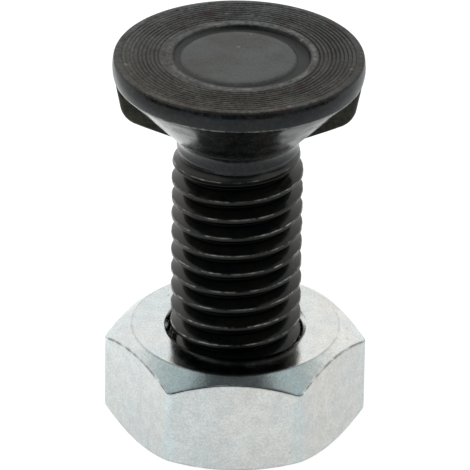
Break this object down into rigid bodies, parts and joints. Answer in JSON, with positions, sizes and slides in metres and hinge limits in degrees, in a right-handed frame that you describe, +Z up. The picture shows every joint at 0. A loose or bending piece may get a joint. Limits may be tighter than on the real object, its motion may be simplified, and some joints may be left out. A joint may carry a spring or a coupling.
{
  "type": "plow bolt",
  "caption": "Flat countersunk plow bolt with nibs under the head that stop it turning, a right-hand thread and a hexagon nut, for bolting on wear plates and blades.",
  "frame": {"origin": "middle of the nut's lower face, on the bolt's axis", "axes": "+Z up the bolt's axis to the head; +X through two of the nut's corners and a nib; -Y out of the nut's front flat"},
  "size_m": [0.0194, 0.0184, 0.0303],
  "materials": {
    "black_steel": "oiled black oxide",
    "zinc_steel": "bright zinc plate"
  },
  "bodies": {
    "bolt": {"bolt": "black_steel"},
    "nut": {"nut": "zinc_steel"}
  },
  "joints": [
    {"name": "nut_turn", "type": "hinge", "parent": "bolt", "child": "nut", "pos_m": [0, 0, 0.004], "axis": [0, 0, 1], "continuous": true}
  ]
}
